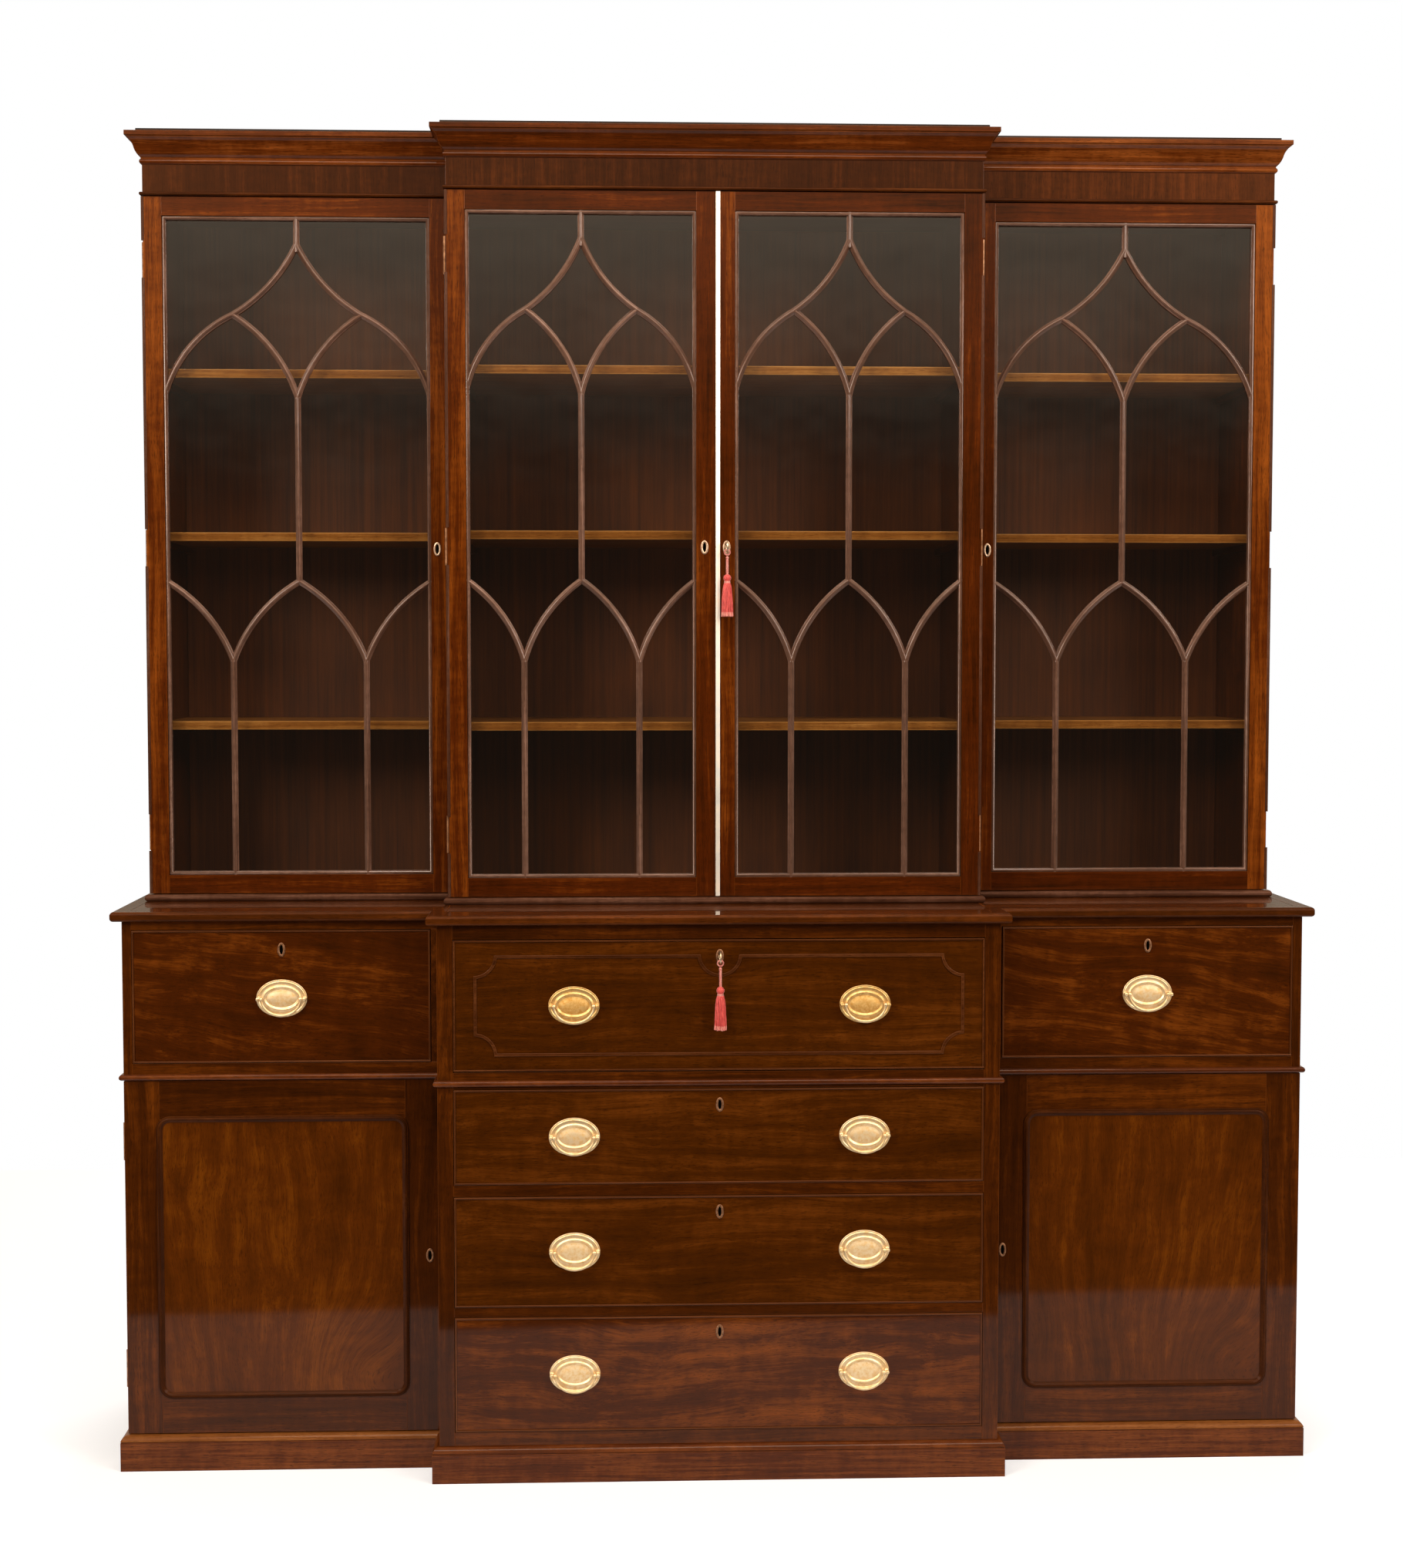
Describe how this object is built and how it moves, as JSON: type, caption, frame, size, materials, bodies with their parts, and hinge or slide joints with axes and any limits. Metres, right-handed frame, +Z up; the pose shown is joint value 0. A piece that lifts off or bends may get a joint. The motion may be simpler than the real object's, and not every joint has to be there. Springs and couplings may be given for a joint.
{
  "type": "secretaire bookcase",
  "caption": "Breakfront secretaire bookcase: astragal-glazed doors above a fall-front writing drawer, long and deep drawers, and panelled cupboards.",
  "frame": {"origin": "middle of the bookcase's box at floor level", "axes": "+X to the viewer's right, +Y to the back, +Z up"},
  "size_m": [2.1, 0.5934, 2.356],
  "materials": {
    "mahogany": "french polished, glossy",
    "pine": "planed, stained",
    "brass": "lacquered, polished",
    "glass": "clear",
    "silk": "spun silk"
  },
  "bodies": {
    "root": {"base_carcase": "mahogany", "plinth": "mahogany", "bead_mouldings": "mahogany", "counter_top": "mahogany", "upper_carcase": "mahogany", "back_boards": "pine", "frieze": "mahogany", "cornice": "mahogany", "bookshelves": "mahogany", "case_hinge_leaves": "brass"},
    "left_wing_door": {"left_wing_door_frame": "mahogany", "left_wing_door_glazing_bars": "mahogany", "left_wing_door_glass": "glass", "left_wing_door_brassware": "brass"},
    "left_centre_door": {"left_centre_door_frame": "mahogany", "left_centre_door_glazing_bars": "mahogany", "left_centre_door_glass": "glass", "left_centre_door_brassware": "brass"},
    "right_centre_door": {"right_centre_door_frame": "mahogany", "right_centre_door_glazing_bars": "mahogany", "right_centre_door_glass": "glass", "right_centre_door_brassware": "brass"},
    "right_wing_door": {"right_wing_door_frame": "mahogany", "right_wing_door_glazing_bars": "mahogany", "right_wing_door_glass": "glass", "right_wing_door_brassware": "brass"},
    "left_cupboard_door": {"left_cupboard_door": "mahogany", "left_cupboard_door_brassware": "brass"},
    "right_cupboard_door": {"right_cupboard_door": "mahogany", "right_cupboard_door_brassware": "brass"},
    "top_drawer": {"top_drawer": "mahogany", "top_drawer_brassware": "brass"},
    "middle_drawer": {"middle_drawer": "mahogany", "middle_drawer_brassware": "brass"},
    "bottom_drawer": {"bottom_drawer": "mahogany", "bottom_drawer_brassware": "brass"},
    "left_deep_drawer": {"left_deep_drawer": "mahogany", "left_deep_drawer_brassware": "brass"},
    "right_deep_drawer": {"right_deep_drawer": "mahogany", "right_deep_drawer_brassware": "brass"},
    "writing_drawer": {"writing_drawer": "mahogany"},
    "fall_front": {"fall_front": "mahogany", "fall_brassware": "brass"},
    "top_drawer_left_bail": {"top_drawer_left_bail": "brass"},
    "top_drawer_right_bail": {"top_drawer_right_bail": "brass"},
    "middle_drawer_left_bail": {"middle_drawer_left_bail": "brass"},
    "middle_drawer_right_bail": {"middle_drawer_right_bail": "brass"},
    "bottom_drawer_left_bail": {"bottom_drawer_left_bail": "brass"},
    "bottom_drawer_right_bail": {"bottom_drawer_right_bail": "brass"},
    "fall_left_bail": {"fall_left_bail": "brass"},
    "fall_right_bail": {"fall_right_bail": "brass"},
    "left_deep_drawer_bail": {"left_deep_drawer_bail": "brass"},
    "right_deep_drawer_bail": {"right_deep_drawer_bail": "brass"},
    "door_key": {"door_key": "brass"},
    "door_key_tassel": {"door_key_tassel": "silk", "door_key_tassel_cord": "silk"},
    "writing_key": {"writing_key": "brass"},
    "writing_key_loop": {"writing_key_loop": "silk"},
    "writing_key_tassel": {"writing_key_tassel": "silk", "writing_key_tassel_cord": "silk"}
  },
  "joints": [
    {"name": "left_wing_door_hinge", "type": "hinge", "parent": "root", "child": "left_wing_door", "pos_m": [-1.0182, 0.0113, 1.6175], "axis": [0, 0, -1], "range_deg": [0, 105]},
    {"name": "left_centre_door_hinge", "type": "hinge", "parent": "root", "child": "left_centre_door", "pos_m": [-0.4762, -0.0707, 1.6175], "axis": [0, 0, -1], "range_deg": [0, 105]},
    {"name": "right_centre_door_hinge", "type": "hinge", "parent": "root", "child": "right_centre_door", "pos_m": [0.4762, -0.0707, 1.6175], "axis": [0, 0, 1], "range_deg": [0, 105]},
    {"name": "right_wing_door_hinge", "type": "hinge", "parent": "root", "child": "right_wing_door", "pos_m": [1.0182, 0.0113, 1.6175], "axis": [0, 0, 1], "range_deg": [0, 105]},
    {"name": "left_cupboard_door_hinge", "type": "hinge", "parent": "root", "child": "left_cupboard_door", "pos_m": [-1.0362, -0.1587, 0.375], "axis": [0, 0, -1], "range_deg": [0, 105]},
    {"name": "right_cupboard_door_hinge", "type": "hinge", "parent": "root", "child": "right_cupboard_door", "pos_m": [1.0362, -0.1587, 0.375], "axis": [0, 0, 1], "range_deg": [0, 105]},
    {"name": "top_drawer_slide", "type": "slide", "parent": "root", "child": "top_drawer", "axis": [0, -1, 0], "range_m": [0, 0.38]},
    {"name": "middle_drawer_slide", "type": "slide", "parent": "root", "child": "middle_drawer", "axis": [0, -1, 0], "range_m": [0, 0.38]},
    {"name": "bottom_drawer_slide", "type": "slide", "parent": "root", "child": "bottom_drawer", "axis": [0, -1, 0], "range_m": [0, 0.38]},
    {"name": "left_deep_drawer_slide", "type": "slide", "parent": "root", "child": "left_deep_drawer", "axis": [0, -1, 0], "range_m": [0, 0.3]},
    {"name": "right_deep_drawer_slide", "type": "slide", "parent": "root", "child": "right_deep_drawer", "axis": [0, -1, 0], "range_m": [0, 0.3]},
    {"name": "writing_drawer_slide", "type": "slide", "parent": "root", "child": "writing_drawer", "axis": [0, -1, 0], "range_m": [0, 0.3]},
    {"name": "fall_hinge", "type": "hinge", "parent": "writing_drawer", "child": "fall_front", "pos_m": [0, -0.2568, 0.738], "axis": [1, 0, 0], "range_deg": [0, 90]},
    {"name": "top_drawer_left_bail_hinge", "type": "hinge", "parent": "top_drawer", "child": "top_drawer_left_bail", "pos_m": [-0.25, -0.2753, 0.6], "axis": [-1, 0, 0], "range_deg": [0, 85]},
    {"name": "top_drawer_right_bail_hinge", "type": "hinge", "parent": "top_drawer", "child": "top_drawer_right_bail", "pos_m": [0.25, -0.2753, 0.6], "axis": [-1, 0, 0], "range_deg": [0, 85]},
    {"name": "middle_drawer_left_bail_hinge", "type": "hinge", "parent": "middle_drawer", "child": "middle_drawer_left_bail", "pos_m": [-0.25, -0.2753, 0.4005], "axis": [-1, 0, 0], "range_deg": [0, 85]},
    {"name": "middle_drawer_right_bail_hinge", "type": "hinge", "parent": "middle_drawer", "child": "middle_drawer_right_bail", "pos_m": [0.25, -0.2753, 0.4005], "axis": [-1, 0, 0], "range_deg": [0, 85]},
    {"name": "bottom_drawer_left_bail_hinge", "type": "hinge", "parent": "bottom_drawer", "child": "bottom_drawer_left_bail", "pos_m": [-0.25, -0.2753, 0.1865], "axis": [-1, 0, 0], "range_deg": [0, 85]},
    {"name": "bottom_drawer_right_bail_hinge", "type": "hinge", "parent": "bottom_drawer", "child": "bottom_drawer_right_bail", "pos_m": [0.25, -0.2753, 0.1865], "axis": [-1, 0, 0], "range_deg": [0, 85]},
    {"name": "fall_left_bail_hinge", "type": "hinge", "parent": "fall_front", "child": "fall_left_bail", "pos_m": [-0.25, -0.2753, 0.82675], "axis": [-1, 0, 0], "range_deg": [0, 85]},
    {"name": "fall_right_bail_hinge", "type": "hinge", "parent": "fall_front", "child": "fall_right_bail", "pos_m": [0.25, -0.2753, 0.82675], "axis": [-1, 0, 0], "range_deg": [0, 85]},
    {"name": "left_deep_drawer_bail_hinge", "type": "hinge", "parent": "left_deep_drawer", "child": "left_deep_drawer_bail", "pos_m": [-0.7585, -0.1933, 0.83], "axis": [-1, 0, 0], "range_deg": [0, 85]},
    {"name": "right_deep_drawer_bail_hinge", "type": "hinge", "parent": "right_deep_drawer", "child": "right_deep_drawer_bail", "pos_m": [0.7585, -0.1933, 0.83], "axis": [-1, 0, 0], "range_deg": [0, 85]},
    {"name": "door_key_turn", "type": "hinge", "parent": "right_centre_door", "child": "door_key", "pos_m": [0.0196, -0.1147, 1.616], "axis": [0, 1, 0], "range_deg": [0, 90]},
    {"name": "door_key_tassel_swing", "type": "hinge", "parent": "door_key", "child": "door_key_tassel", "pos_m": [0.0196, -0.1147, 1.6075], "axis": [0, 1, 0], "range_deg": [-90, 90]},
    {"name": "writing_key_turn", "type": "hinge", "parent": "fall_front", "child": "writing_key", "pos_m": [0, -0.2847, 0.9105], "axis": [0, 1, 0], "range_deg": [0, 90]},
    {"name": "writing_key_loop_swing", "type": "hinge", "parent": "writing_key", "child": "writing_key_loop", "pos_m": [0, -0.2847, 0.902], "axis": [0, 1, 0], "range_deg": [-90, 90]},
    {"name": "writing_key_tassel_swing", "type": "hinge", "parent": "writing_key_loop", "child": "writing_key_tassel", "pos_m": [0, -0.2847, 0.8963], "axis": [1, 0, 0], "range_deg": [-90, 0]}
  ],
  "couplings": [
    {"joint": "door_key_tassel_swing", "follows": "door_key_turn", "ratio": -1},
    {"joint": "writing_key_loop_swing", "follows": "writing_key_turn", "ratio": -1},
    {"joint": "writing_key_tassel_swing", "follows": "fall_hinge", "ratio": -1}
  ]
}
